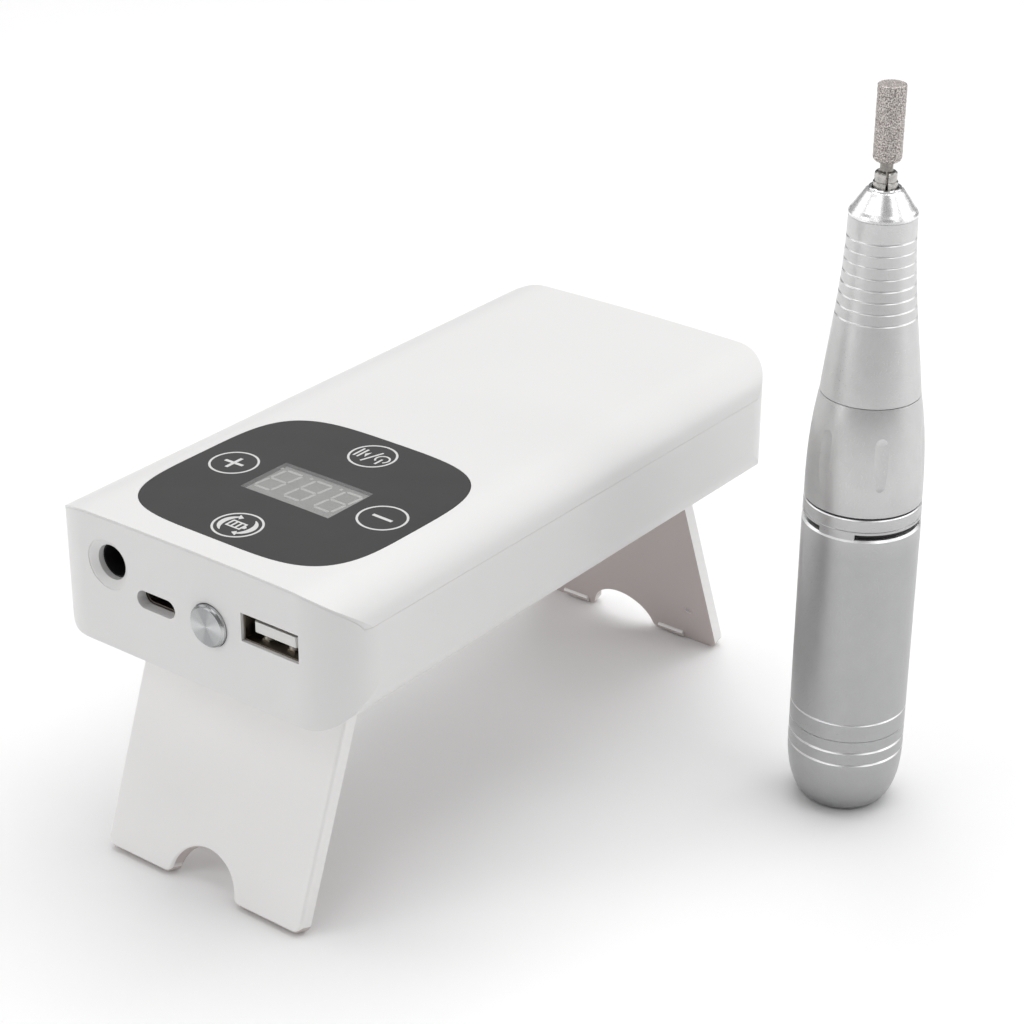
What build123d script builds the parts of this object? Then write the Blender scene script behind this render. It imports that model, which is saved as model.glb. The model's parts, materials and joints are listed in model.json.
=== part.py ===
"""Electric nail drill: control box on two folding legs, and its handpiece with a bit.

Millimetres.  Working frame while modelling: x = 0 on the box centre line, y = 0 on the
box front face, z = 0 on the table.  Every part is shifted at export so that the row's
origin is the bottom centre of the whole set.
"""
import os
from math import atan2, cos, degrees, radians, sin, sqrt, tan

from build123d import *

# ---------------------------------------------------------------- control box
BOX_W = 71.0
BOX_L = 136.5
BOX_H = 26.5
BOX_Z = 45.0
WALL = 2.2
PLAN_R = 10.0
TOP_A = 11.4
TOP_B = 8.3
CROWN = 0.55
BOTTOM_R = 8.0
SKIN = 0.45
SEAM = 0.05

# front face features: (x, height above the box underside)
JACK_X, JACK_Z = -19.25, 17.0
JACK_HOLE_R = 3.4
JACK_DISH_R = 4.85
JACK_BORE_R = 3.15
JACK_BORE_L = 10.0
USB_C_X, USB_C_Z = -7.7, 12.7
USB_C_SLOT_W, USB_C_SLOT_H = 9.3, 3.6
BUTTON_X, BUTTON_Z = 5.25, 13.05
BUTTON_R = 4.05
BUTTON_FIT = 0.12
BUTTON_OUT = 1.0
BUTTON_TRAVEL = 0.5
USB_A_X, USB_A_Z = 19.4, 15.3
USB_A_W, USB_A_H = 13.2, 5.6

# touch panel on the top face
PANEL_X, PANEL_Y = 1.0, 30.4
PANEL_A, PANEL_B = 25.65, 24.65
PANEL_POWER = 4.0
PANEL_FLOOR = 1.5
WINDOW_X, WINDOW_Y = 1.55, 30.15
WINDOW_W, WINDOW_D = 21.1, 12.4
WINDOW_T = 0.6
DISPLAY_DROP = 0.7

# folding legs
LEG_W = 48.5
LEG_T = 3.0
LEG_SPLAY = 20.3
LEG_FOOT_Y = -0.67
FOOT_REACH = 0.5
LEG_PIN_R = 0.8
LEG_FIT = 0.03
LEG_CEILING = 3.9
NOTCH_R = 8.0
NOTCH_DROP = 0.5

# inside the box
BOARD_T = 1.4
BOARD_TOP = 55.9
CELL_R = 9.1
CELL_L = 65.0
CELL_X = 9.6
BOSS_X = 29.2
BOSS_Y = 10.0

# ---------------------------------------------------------------- handpiece
HP_X, HP_Y = 74.7, 102.9
BARREL_R = 11.1
CAP_FLAT_R = 6.6
CAP_ROUND = 11.6
CAP_TOP = 17.3
BARREL_TOP = 60.4
RING_TOP = 64.55
SLEEVE_Z = 65.03
SLEEVE_TOP = 85.98
GRIP_Z = 86.1
GRIP_TOP = 120.0
GRIP_GROOVES = 8
GROOVE_FIRST = 101.3
GROOVE_PITCH = 2.12
GROOVE_HALF = 0.2
GROOVE_DEPTH = 0.19
FLUTES = 6
FLUTE_ANGLE = -105.0
FLUTE_Z0, FLUTE_Z1 = 71.6, 79.9
FLUTE_R = 6.0
FLUTE_DEPTH = 0.07
SLOT_COUNT = 3
SLOT_MID = -24.8
SLOT_HALF = 41.2
SPINDLE_R = 2.0
SHANK_R = 1.175
COLLET_R = 2.22
COLLET_TOP = 127.9
BIT_R = 2.6
BIT_Z = 129.5
BIT_TOP = 143.75
TWIST_LIFT = 1.2

# outer radius of the handpiece from the lock ring to the nose, as (height, radius)
SHAPE = [(64.9, 10.95), (70.5, 10.88), (77.75, 10.44), (86.0, 9.26), (98.5, 7.8),
         (107.6, 6.8), (116.5, 6.25), (120.0, 6.2)]

# ---------------------------------------------------------------- shared values
SEAM_Z = BOX_Z + BOX_H - TOP_B + 1.0
PIVOT_Z = BOX_Z + 0.1 + LEG_T / 2
SPLAY = radians(LEG_SPLAY)
FOOT_MID_Z = LEG_T / 2 * sin(SPLAY)
LEG_LENGTH = (PIVOT_Z - FOOT_MID_Z) / cos(SPLAY)
PIVOT_Y = LEG_FOOT_Y + LEG_T / 2 * cos(SPLAY) + (PIVOT_Z - FOOT_MID_Z) * tan(SPLAY)
RECESS_Y = PIVOT_Y - (PIVOT_Z - BOX_Z) * tan(SPLAY) - LEG_T / 2 / cos(SPLAY) - 0.03
RECESS_HALF_W = LEG_W / 2 + 0.2
CEILING_Z = BOX_Z + LEG_CEILING
TRAY_T = 1.4

MID_X = (-BOX_W / 2 + HP_X + BARREL_R) / 2
MID_Y = (BOX_L + FOOT_REACH - BUTTON_OUT) / 2

parts = {}


# ---------------------------------------------------------------- helpers
def block(x0, x1, y0, y1, z0, z1):
    """Box given by its two corners."""
    return Pos((x0 + x1) / 2, (y0 + y1) / 2, (z0 + z1) / 2) * Box(x1 - x0, y1 - y0, z1 - z0)


def rod(radius, x, z, y0, y1):
    """Cylinder along Y."""
    return Pos(x, (y0 + y1) / 2, z) * Rot(90, 0, 0) * Cylinder(radius, y1 - y0)


def post(radius, x, y, z0, z1):
    """Cylinder along Z."""
    return Pos(x, y, (z0 + z1) / 2) * Cylinder(radius, z1 - z0)


def axle(radius, y, z, x0, x1):
    """Cylinder along X."""
    return Pos((x0 + x1) / 2, y, z) * Rot(0, 90, 0) * Cylinder(radius, x1 - x0)


def turned(*points):
    """Solid of revolution about Z from (radius, height) points."""
    loop = Polyline(*[(r, 0, z) for r, z in points], close=True)
    return revolve(make_face(loop), Axis.Z)


def ring(r_in, r_out, z0, z1):
    """Tube about Z."""
    return turned((r_in, z0), (r_out, z0), (r_out, z1), (r_in, z1))


def v_ring(radius, z, half, depth):
    """Cutter for a V groove around Z: 2 * half wide at the given radius, depth deep."""
    reach = half * (depth + 1) / depth
    return turned((radius - depth, z), (radius + 1, z - reach), (radius + 1, z + reach))


def side_prism(inset, y0, y1):
    """The box's rounded cross-section, moved in by inset and drawn out from y0 to y1."""
    h = BOX_W / 2 - inset
    top = BOX_Z + BOX_H - inset
    low = BOX_Z + inset
    a = TOP_A - inset
    b = TOP_B - inset
    r = BOTTOM_R - inset
    shoulder = top - CROWN * ((h - a) / h) ** 2
    slope = 2 * CROWN * (h - a) / h ** 2
    k = sqrt(0.5)
    ne = (h - a + a * k, shoulder - b + b * k)
    crown = ThreePointArc((-h + a, y0, shoulder), (0, y0, top), (h - a, y0, shoulder))
    right = Spline((h - a, y0, shoulder), (ne[0], y0, ne[1]), (h, y0, shoulder - b),
                   tangents=[(1, 0, -slope), (0, 0, -1)])
    left = Spline((-h + a, y0, shoulder), (-ne[0], y0, ne[1]), (-h, y0, shoulder - b),
                  tangents=[(-1, 0, -slope), (0, 0, -1)])
    wall_r = Line((h, y0, shoulder - b), (h, y0, low + r))
    wall_l = Line((-h, y0, shoulder - b), (-h, y0, low + r))
    arc_r = ThreePointArc((h, y0, low + r), (h - r + r * k, y0, low + r - r * k), (h - r, y0, low))
    arc_l = ThreePointArc((-h, y0, low + r), (-h + r - r * k, y0, low + r - r * k), (-h + r, y0, low))
    base = Line((h - r, y0, low), (-h + r, y0, low))
    face = make_face([crown, right, wall_r, arc_r, base, arc_l, wall_l, left])
    return extrude(face, amount=y1 - y0, dir=(0, 1, 0))


def plan_prism(inset):
    """The box's plan outline, moved in by inset, as a tall prism."""
    outline = RectangleRounded(BOX_W - 2 * inset, BOX_L - 2 * inset, PLAN_R - inset)
    return Pos(0, BOX_L / 2, BOX_Z - 10) * extrude(outline, amount=BOX_H + 20)


def squircle(inset, z0, z1):
    """Prism on the touch panel's soft square outline."""
    points = []
    steps = 48
    for i in range(steps):
        t = radians(360.0 * i / steps)
        c = cos(t)
        s = sin(t)
        size = (abs(c) ** PANEL_POWER + abs(s) ** PANEL_POWER) ** (-1 / PANEL_POWER)
        x = PANEL_X + (PANEL_A - inset) * size * c
        y = PANEL_Y + (PANEL_B - inset) * size * s
        points.append((x, y, z0))
    curve = Spline(*points, periodic=True)
    return extrude(make_face(curve), amount=z1 - z0, dir=(0, 0, 1))


def group(shapes):
    """Several separate solids kept as one part."""
    solids = []
    for shape in shapes:
        solids.extend(shape.solids())
    return Compound(solids)


def ends_only(inset_y):
    """Two blocks covering the box's front and rear ends."""
    front = block(-60, 60, -5, inset_y, SEAM_Z, 90)
    rear = block(-60, 60, BOX_L - inset_y, BOX_L + 5, SEAM_Z, 90)
    return front + rear


def mirror_y(shape):
    """Copy at the other end of the box."""
    return mirror(shape, about=Plane.XZ.offset(-BOX_L / 2))


def shape_radius(z):
    """Handpiece radius at a height, straight between the SHAPE stations."""
    for (z0, r0), (z1, r1) in zip(SHAPE, SHAPE[1:]):
        if z <= z1:
            return r0 + (r1 - r0) * (z - z0) / (z1 - z0)
    return SHAPE[-1][1]


def skin_curve(z0, z1):
    """Handpiece outer curve between two heights, and its end radii."""
    inner = [(shape_radius(z), 0, z) for z, r in SHAPE if z0 + 0.5 < z < z1 - 0.5]
    first = (shape_radius(z0), 0, z0)
    last = (shape_radius(z1), 0, z1)
    return Spline(first, *inner, last), first, last


def hollow_skin(z0, z1, bore):
    """Turned sleeve with the handpiece's outer curve and a stepped bore of (radius, height)."""
    curve, first, last = skin_curve(z0, z1)
    inside = [(r, 0, z) for r, z in bore]
    loop = Polyline(last, *reversed(inside), first)
    return revolve(make_face([curve, loop]), Axis.Z)


# ---------------------------------------------------------------- box shells
outer = side_prism(0, -1, BOX_L + 1) & plan_prism(0)
inner = side_prism(WALL, 0, BOX_L) & plan_prism(WALL)
above = block(-60, 60, -5, BOX_L + 5, SEAM_Z, 90)
end_zone = ends_only(PLAN_R)

end_core = side_prism(SKIN, -2, BOX_L + 2) & end_zone
end_walls = (end_core & plan_prism(0)) - plan_prism(WALL)
end_room = (side_prism(SKIN - SEAM, -2, BOX_L + 2) & ends_only(PLAN_R + SEAM)) - plan_prism(WALL + SEAM)

cover = (outer & block(-60, 60, -5, BOX_L + 5, SEAM_Z + SEAM, 90)) - inner - end_room
for sx in (-1, 1):
    for y in (BOSS_Y, BOX_L - BOSS_Y):
        stem = post(3.0, sx * BOSS_X, y, BOX_Z + 12.3, BOX_Z + BOX_H) & inner
        cover = cover + stem
        cover = cover - post(0.9, sx * BOSS_X, y, BOX_Z + 12, BOX_Z + 19.5)
cover = cover - squircle(-0.08, BOX_Z + BOX_H - PANEL_FLOOR, BOX_Z + BOX_H + 2)
cover = cover - squircle(2.0, BOX_Z + BOX_H - 6, BOX_Z + BOX_H + 2)
parts["top_cover"] = cover

tray = block(-RECESS_HALF_W - 3.5, RECESS_HALF_W + 3.5, RECESS_Y - 2.0, BOX_L - RECESS_Y + 2.0,
             BOX_Z, CEILING_Z + TRAY_T)
recess = block(-RECESS_HALF_W, RECESS_HALF_W, RECESS_Y, BOX_L - RECESS_Y, BOX_Z - 1, CEILING_Z)
tub = (outer - above) - inner + end_walls + (tray & outer)
for sx in (-1, 1):
    for y in (BOSS_Y, BOX_L - BOSS_Y):
        tub = tub + (post(3.6, sx * BOSS_X, y, BOX_Z, BOX_Z + 12.2) & outer)
        tub = tub - post(2.3, sx * BOSS_X, y, BOX_Z - 1, BOX_Z + 9.2)
        tub = tub - post(1.2, sx * BOSS_X, y, BOX_Z, BOX_Z + 14)
for sx in (-1, 1):
    for y in (21.0, 44.0):
        tub = tub + post(2.4, sx * 20.0, y, CEILING_Z, BOARD_TOP - BOARD_T)
        tub = tub - post(0.8, sx * 20.0, y, CEILING_Z + 1.2, BOARD_TOP)
tub = tub - recess
for y in (PIVOT_Y, BOX_L - PIVOT_Y):
    tub = tub - axle(LEG_PIN_R, y, PIVOT_Z, -RECESS_HALF_W - 2.5, RECESS_HALF_W + 2.5)

jack_dish = Pos(JACK_X, 0.5, BOX_Z + JACK_Z) * Rot(90, 0, 0) * Cone(JACK_HOLE_R, JACK_DISH_R, 1.0)
jack_line = rod(JACK_DISH_R + 0.13, JACK_X, BOX_Z + JACK_Z, -1, 0.14)
tub = tub - rod(JACK_HOLE_R, JACK_X, BOX_Z + JACK_Z, -1, WALL + 1) - jack_dish - jack_line
slot_face = Plane.XZ.offset(1) * Pos(USB_C_X, BOX_Z + USB_C_Z) * SlotOverall(USB_C_SLOT_W, USB_C_SLOT_H)
tub = tub - extrude(slot_face, amount=-(WALL + 2))
tub = tub - rod(BUTTON_R + BUTTON_FIT, BUTTON_X, BOX_Z + BUTTON_Z, -1, WALL + 1)
tub = tub - block(USB_A_X - USB_A_W / 2, USB_A_X + USB_A_W / 2, -1, WALL + 1,
                  BOX_Z + USB_A_Z - USB_A_H / 2, BOX_Z + USB_A_Z + USB_A_H / 2)
parts["lower_housing"] = tub

screws = []
for sx in (-1, 1):
    for y in (BOSS_Y, BOX_L - BOSS_Y):
        head = post(1.9, sx * BOSS_X, y, BOX_Z + 7.5, BOX_Z + 9.15)
        drive = post(0.8, sx * BOSS_X, y, BOX_Z + 7, BOX_Z + 8.3)
        screws.append(head + post(0.88, sx * BOSS_X, y, BOX_Z + 9.0, BOX_Z + 18.5) - drive)
parts["housing_screws"] = group(screws)

# ---------------------------------------------------------------- touch panel and display
top_plane = BOX_Z + BOX_H
lens = squircle(0, top_plane - PANEL_FLOOR + 0.02, top_plane + 2) & outer
window = block(WINDOW_X - WINDOW_W / 2, WINDOW_X + WINDOW_W / 2,
               WINDOW_Y - WINDOW_D / 2, WINDOW_Y + WINDOW_D / 2,
               top_plane - PANEL_FLOOR + 0.02, top_plane + 2)
parts["touch_panel"] = lens - window
glass = block(WINDOW_X - WINDOW_W / 2 + 0.03, WINDOW_X + WINDOW_W / 2 - 0.03,
              WINDOW_Y - WINDOW_D / 2 + 0.03, WINDOW_Y + WINDOW_D / 2 - 0.03,
              top_plane - WINDOW_T, top_plane + 2)
parts["display_window"] = glass & outer

sensor_top = top_plane - PANEL_FLOOR
sensor = squircle(2.4, sensor_top - 1.15, sensor_top)
sensor = sensor - block(WINDOW_X - 10.7, WINDOW_X + 10.7, WINDOW_Y - 6.3, WINDOW_Y + 6.3,
                        sensor_top - 3, sensor_top + 1)
parts["touch_board"] = sensor
digits = block(WINDOW_X - 10.2, WINDOW_X + 10.45, WINDOW_Y - 6.1, WINDOW_Y + 6.1,
               sensor_top - 2.0, top_plane - DISPLAY_DROP)
digits = digits + block(WINDOW_X - 12.0, WINDOW_X + 12.0, WINDOW_Y - 7.5, WINDOW_Y + 7.5,
                        sensor_top - 6.1, sensor_top - 1.2)
parts["digit_display"] = digits

# ---------------------------------------------------------------- main board and sockets
board = block(-24.6, 24.6, 4.3, 48.0, BOARD_TOP - BOARD_T, BOARD_TOP)
for sx in (-1, 1):
    for y in (21.0, 44.0):
        board = board - post(1.1, sx * 20.0, y, BOARD_TOP - 3, BOARD_TOP + 1)
parts["main_board"] = board
board_screws = []
for sx in (-1, 1):
    for y in (21.0, 44.0):
        pan = post(1.6, sx * 20.0, y, BOARD_TOP + 0.02, BOARD_TOP + 1.1)
        board_screws.append(pan + post(0.78, sx * 20.0, y, BOARD_TOP - 5.0, BOARD_TOP + 0.5))
parts["board_screws"] = group(board_screws)

jack_z = BOX_Z + JACK_Z
jack = block(JACK_X - 4.6, JACK_X + 4.6, WALL + 0.1, WALL + 13.0, BOARD_TOP + 0.02, jack_z + 4.6)
jack = jack - rod(JACK_BORE_R, JACK_X, jack_z, WALL, WALL + 0.1 + JACK_BORE_L)
jack = jack - rod(1.6, JACK_X, jack_z, WALL + JACK_BORE_L, WALL + 14.0)
parts["handpiece_jack"] = jack
contact = block(JACK_X - 1.0, JACK_X + 1.0, WALL + 11.0, WALL + 11.4, jack_z - 1.1, jack_z + 1.1)
tail = block(JACK_X - 0.6, JACK_X + 0.6, WALL + 11.3, WALL + 14.0, jack_z - 0.3, jack_z + 0.3)
parts["jack_contact"] = contact + tail

usb_c_z = BOX_Z + USB_C_Z
shell_c = Plane.XZ.offset(-WALL - 0.1) * Pos(USB_C_X, usb_c_z) * SlotOverall(8.94, 3.26)
room_c = Plane.XZ.offset(-WALL) * Pos(USB_C_X, usb_c_z) * SlotOverall(8.34, 2.66)
parts["usb_c_shell"] = extrude(shell_c, amount=-8.2) - extrude(room_c, amount=-7.5)
parts["usb_c_tongue"] = block(USB_C_X - 3.35, USB_C_X + 3.35, 3.1, 9.68, usb_c_z - 0.35, usb_c_z + 0.35)

usb_a_z = BOX_Z + USB_A_Z
shell_a = block(USB_A_X - 6.56, USB_A_X + 6.56, 0.7, 16.0, usb_a_z - 2.76, usb_a_z + 2.76)
room_a = block(USB_A_X - 6.26, USB_A_X + 6.26, 0, 15.0, usb_a_z - 2.46, usb_a_z + 2.46)
parts["usb_a_shell"] = shell_a - room_a
tongue = block(USB_A_X - 4.9, USB_A_X + 4.9, 1.5, 12.0, usb_a_z - 0.95, usb_a_z + 1.1)
tongue = chamfer(tongue.edges().filter_by(Axis.Z).group_by(Axis.Y)[0], 0.3)
tongue = tongue + block(USB_A_X - 6.2, USB_A_X + 6.2, 12.0, 14.9, usb_a_z - 2.4, usb_a_z + 2.4)
parts["usb_a_tongue"] = tongue
springs = []
for sx in (-1, 1):
    cx = USB_A_X + sx * 2.9
    blade = block(cx - 0.8, cx + 0.8, 2.2, 11.9, usb_a_z - 2.42, usb_a_z - 2.2)
    nib = Pos(cx, 3.2, usb_a_z - 2.3) * Sphere(1.05)
    nib = nib & block(cx - 2, cx + 2, 1, 5, usb_a_z - 2.35, usb_a_z - 1.0)
    springs.append(blade + nib)
parts["usb_a_springs"] = group(springs)
parts["usb_a_riser"] = block(USB_A_X - 5.0, USB_A_X + 5.0, 4.4, 15.8, BOARD_TOP + 0.02, usb_a_z - 2.78)

# ---------------------------------------------------------------- power button
button_z = BOX_Z + BUTTON_Z
cap = rod(BUTTON_R, BUTTON_X, button_z, -BUTTON_OUT, WALL + 0.9)
cap = chamfer(cap.faces().sort_by(Axis.Y)[0].edges(), 0.42)
cap = cap + rod(5.0, BUTTON_X, button_z, WALL + 0.08, WALL + 0.9)
cap = cap - rod(3.1, BUTTON_X, button_z, 0.2, WALL + 2)
cap = cap + rod(1.6, BUTTON_X, button_z, 0, 3.7)
parts["power_button"] = cap
parts["switch_plunger"] = rod(1.5, BUTTON_X, button_z, 3.72, 6.2)
switch = block(BUTTON_X - 3.0, BUTTON_X + 3.0, 4.6, 8.4, BOARD_TOP + 0.02, button_z + 3.0)
switch = switch - rod(1.55, BUTTON_X, button_z, 4.0, 7.4)
parts["power_switch"] = switch

# ---------------------------------------------------------------- battery
cell_z = CEILING_Z + TRAY_T + 0.35 + CELL_R
cell_y = 66.0
cells = []
for sx in (-1, 1):
    body = rod(CELL_R, sx * CELL_X, cell_z, cell_y, cell_y + CELL_L)
    body = fillet(body.edges(), 0.8)
    cells.append(body + rod(2.9, sx * CELL_X, cell_z, cell_y - 0.6, cell_y + 1))
parts["battery_cells"] = group(cells)
cradle = block(-20.5, 20.5, cell_y - 2.0, cell_y + CELL_L + 2.0, CEILING_Z + TRAY_T + 0.03, 57.0)
for sx in (-1, 1):
    cradle = cradle - rod(CELL_R + 0.02, sx * CELL_X, cell_z, cell_y - 1.0, cell_y + CELL_L + 1.0)
parts["cell_cradle"] = cradle
parts["cell_tabs"] = group([
    block(-14.0, 14.0, cell_y - 0.85, cell_y - 0.62, cell_z - 2.5, cell_z + 2.5),
    block(-14.0, 14.0, cell_y + CELL_L + 0.02, cell_y + CELL_L + 0.25, cell_z - 2.5, cell_z + 2.5),
])


# ---------------------------------------------------------------- legs
def flat_leg():
    """Leg drawn flat: pin along X at the origin, foot at y = -LEG_LENGTH, outer face up."""
    plate = block(-LEG_W / 2, LEG_W / 2, -LEG_LENGTH, 0, -LEG_T / 2, LEG_T / 2)
    plate = fillet(plate.edges().filter_by(Axis.Z).group_by(Axis.Y)[0], 1.8)
    notch = post(NOTCH_R, 0, -LEG_LENGTH - NOTCH_DROP, -LEG_T, LEG_T)
    plate = plate - notch
    corners = plate.edges().filter_by(Axis.Z).group_by(Axis.Y)[0]
    corners = [e for e in corners if abs(e.center().X) < NOTCH_R + 1]
    plate = fillet(corners, 1.4)
    outside = plate.faces().sort_by(Axis.Z)[-1].edges()
    rim = [e for e in outside if e.center().Y < -1]
    plate = fillet(rim, 0.6)
    plate = plate + axle(LEG_T / 2, 0, 0, -LEG_W / 2, LEG_W / 2)
    for sx in (-1, 1):
        x0 = sx * 9.6
        x1 = sx * 16.0
        rib = block(min(x0, x1), max(x0, x1), -LEG_LENGTH + 0.5, -LEG_LENGTH + 1.9,
                    -LEG_T / 2 - 0.6, -LEG_T / 2 + 0.2)
        plate = plate + chamfer(rib.edges().filter_by(Axis.X).group_by(Axis.Z)[0], 0.3)
        plate = plate - post(0.9, sx * 18.8, -LEG_LENGTH + 9.5, -LEG_T, -LEG_T / 2 + 0.4)
    return plate - axle(LEG_PIN_R + LEG_FIT, 0, 0, -LEG_W, LEG_W)


swing = degrees(atan2(cos(SPLAY), sin(SPLAY)))
leg = Pos(0, PIVOT_Y, PIVOT_Z) * Rot(swing, 0, 0) * flat_leg()
parts["front_leg"] = leg
parts["rear_leg"] = mirror_y(leg)
pin = axle(LEG_PIN_R, PIVOT_Y, PIVOT_Z, -RECESS_HALF_W - 2.4, RECESS_HALF_W + 2.4)
parts["front_leg_pin"] = pin
parts["rear_leg_pin"] = mirror_y(pin)

# ---------------------------------------------------------------- handpiece, about its own axis
hand = {}

cap_points = []
for i in range(13):
    t = radians(7.5 * i)
    cap_points.append((CAP_FLAT_R + (BARREL_R - CAP_FLAT_R) * sin(t), 0, CAP_ROUND * (1 - cos(t))))
cap_side = Spline(*cap_points)
cap_rest = Polyline((BARREL_R, 0, CAP_ROUND), (BARREL_R, 0, CAP_TOP), (9.6, 0, CAP_TOP), (9.6, 0, 22.0),
                    (8.4, 0, 22.0), (8.4, 0, 11.2), (6.3, 0, 11.2), (6.3, 0, 9.0), (4.05, 0, 9.0),
                    (4.05, 0, 0.0), (CAP_FLAT_R, 0, 0.0))
rear_cap = revolve(make_face([cap_side, cap_rest]), Axis.Z)
for z in (12.1, 14.8):
    rear_cap = rear_cap - v_ring(BARREL_R, z, 0.26, 0.24)
rear_cap = rear_cap - ring(9.0, 10.0, 19.2, 20.4)
hand["rear_cap"] = rear_cap
hand["cap_o_ring"] = Pos(0, 0, 19.8) * Torus(9.34, 0.31)
socket = turned((2.75, 0.25), (4.0, 0.25), (4.0, 9.05), (6.2, 9.05), (6.2, 11.1), (1.2, 11.1),
                (1.2, 8.6), (2.75, 8.6))
hand["tail_socket"] = socket

tube = turned((9.65, CAP_TOP + 0.04), (BARREL_R - 0.06, CAP_TOP + 0.04), (BARREL_R, CAP_TOP + 0.1),
              (BARREL_R, BARREL_TOP - 0.4), (BARREL_R - 0.4, BARREL_TOP), (10.02, BARREL_TOP),
              (10.02, 58.0), (9.65, 58.0))
hand["motor_housing"] = tube - v_ring(BARREL_R, 21.0, 0.2, 0.2)

lock_ring = turned((10.05, BARREL_TOP + 0.05), (BARREL_R - 0.05, BARREL_TOP + 0.05),
                   (BARREL_R - 0.12, RING_TOP - 0.2), (BARREL_R - 0.3, RING_TOP), (10.05, RING_TOP))
lock_ring = lock_ring - ring(BARREL_R - 0.22, BARREL_R + 1, 62.05, 62.25)
for i in range(SLOT_COUNT):
    mid = SLOT_MID + i * 360 / SLOT_COUNT
    wedge = revolve(make_face(Polyline((9, 0, BARREL_TOP - 1), (13, 0, BARREL_TOP - 1),
                                       (13, 0, 61.6), (9, 0, 61.6), close=True)),
                    Axis.Z, revolution_arc=2 * SLOT_HALF)
    lock_ring = lock_ring - Rot(0, 0, mid - SLOT_HALF) * wedge
hand["lock_ring"] = lock_ring
hand["lock_liner"] = ring(9.3, 10.0, 58.05, SLEEVE_Z - 0.05)

sleeve = hollow_skin(SLEEVE_Z, SLEEVE_TOP, [(8.1, SLEEVE_Z), (8.1, 84.0), (6.25, 84.0), (6.25, SLEEVE_TOP)])
flute_low = shape_radius(FLUTE_Z0) + FLUTE_R - FLUTE_DEPTH
flute_high = shape_radius(FLUTE_Z1) + FLUTE_R - FLUTE_DEPTH
flute_lean = degrees(atan2(flute_high - flute_low, FLUTE_Z1 - FLUTE_Z0))
flute_reach = sqrt((flute_high - flute_low) ** 2 + (FLUTE_Z1 - FLUTE_Z0) ** 2)
cutter = Cylinder(FLUTE_R, flute_reach)
cutter = cutter + Pos(0, 0, flute_reach / 2) * Sphere(FLUTE_R) + Pos(0, 0, -flute_reach / 2) * Sphere(FLUTE_R)
cutter = Pos((flute_low + flute_high) / 2, 0, (FLUTE_Z0 + FLUTE_Z1) / 2) * Rot(0, flute_lean, 0) * cutter
for i in range(FLUTES):
    sleeve = sleeve - Rot(0, 0, FLUTE_ANGLE + i * 360 / FLUTES) * cutter
hand["twist_sleeve"] = sleeve

grip = hollow_skin(GRIP_Z, GRIP_TOP, [(6.25, GRIP_Z), (6.25, 87.3), (5.05, 87.3), (5.05, GRIP_TOP)])
for i in range(GRIP_GROOVES):
    z = GROOVE_FIRST + i * GROOVE_PITCH
    grip = grip - v_ring(shape_radius(z), z, GROOVE_HALF, GROOVE_DEPTH)
hand["grip_sleeve"] = grip

hand["nose_cone"] = turned((5.05, 120.06), (6.22, 120.06), (6.27, 120.12), (6.22, 120.55), (5.98, 120.95),
                           (5.6, 121.4), (4.74, 122.7), (3.78, 124.1), (3.45, 124.55), (3.2, 124.7),
                           (3.02, 124.7), (3.02, 120.9), (5.05, 120.9))
hand["nose_ring"] = turned((2.42, 121.0), (3.0, 121.0), (3.0, 124.95), (2.9, 125.1), (2.7, 125.16),
                           (2.52, 125.1), (2.42, 124.95))
hand["core_tube"] = turned((4.02, 58.2), (9.25, 58.2), (9.25, 64.6), (8.05, 64.6), (8.05, 66.5), (6.2, 66.5),
                           (6.2, 87.2), (5.0, 87.2), (5.0, 120.8), (4.02, 120.8))
hand["release_collar"] = ring(6.25, 8.03, 67.0, 71.0)

spring_low = 71.4
spring_high = 83.6
coil = Pos(0, 0, spring_low) * Helix(2.4, spring_high - spring_low, 7.1)
wire = Plane(coil @ 0, z_dir=coil % 0) * Circle(0.33)
hand["lock_spring"] = sweep(wire, path=coil, is_frenet=True)

bearings = []
for z in (69.0, 111.5, 116.0):
    bearings.append(ring(SPINDLE_R + 0.03, 4.0, z, z + 3.0))
hand["spindle_bearings"] = group(bearings)
hand["spindle"] = turned((0, 62.0), (SPINDLE_R, 62.0), (SPINDLE_R, 121.9), (1.52, 121.9), (1.52, 100.0), (0, 100.0))

collet = turned((1.2, 101.0), (1.5, 101.0), (1.5, 121.95), (COLLET_R, 121.95), (COLLET_R, 126.05),
                (COLLET_R - 0.1, 126.15), (COLLET_R - 0.24, 126.15), (COLLET_R - 0.24, COLLET_TOP - 0.22),
                (COLLET_R - 0.46, COLLET_TOP), (1.45, COLLET_TOP), (1.2, COLLET_TOP - 0.35))
for i in range(2):
    collet = collet - Rot(0, 0, -54.0 + 90 * i) * block(-4, 4, -0.24, 0.24, 123.0, COLLET_TOP + 1)
hand["collet"] = collet
hand["drive_coupling"] = turned((1.01, 57.0), (3.6, 57.0), (3.6, 66.0), (SPINDLE_R + 0.01, 66.0),
                                (SPINDLE_R + 0.01, 61.9), (1.01, 61.9))

hand["motor_can"] = turned((8.95, 24.2), (9.55, 24.2), (9.55, 55.6), (9.0, 56.1), (2.5, 56.1), (2.5, 55.2), (8.95, 55.2))
magnets = []
for side in (0, 180):
    arc = revolve(make_face(Polyline((7.6, 0, 26), (8.9, 0, 26), (8.9, 0, 52), (7.6, 0, 52), close=True)),
                  Axis.Z, revolution_arc=130)
    magnets.append(Rot(0, 0, side - 65) * arc)
hand["motor_magnets"] = group(magnets)
hand["motor_rotor"] = turned((1.01, 28.0), (7.3, 28.0), (7.3, 50.0), (1.01, 50.0))
hand["motor_shaft"] = post(1.0, 0, 0, 22.9, 61.5)
hand["motor_end_bell"] = turned((1.04, 22.2), (9.4, 22.2), (9.4, 24.15), (8.9, 24.15), (8.9, 25.5), (1.04, 25.5))

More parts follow.
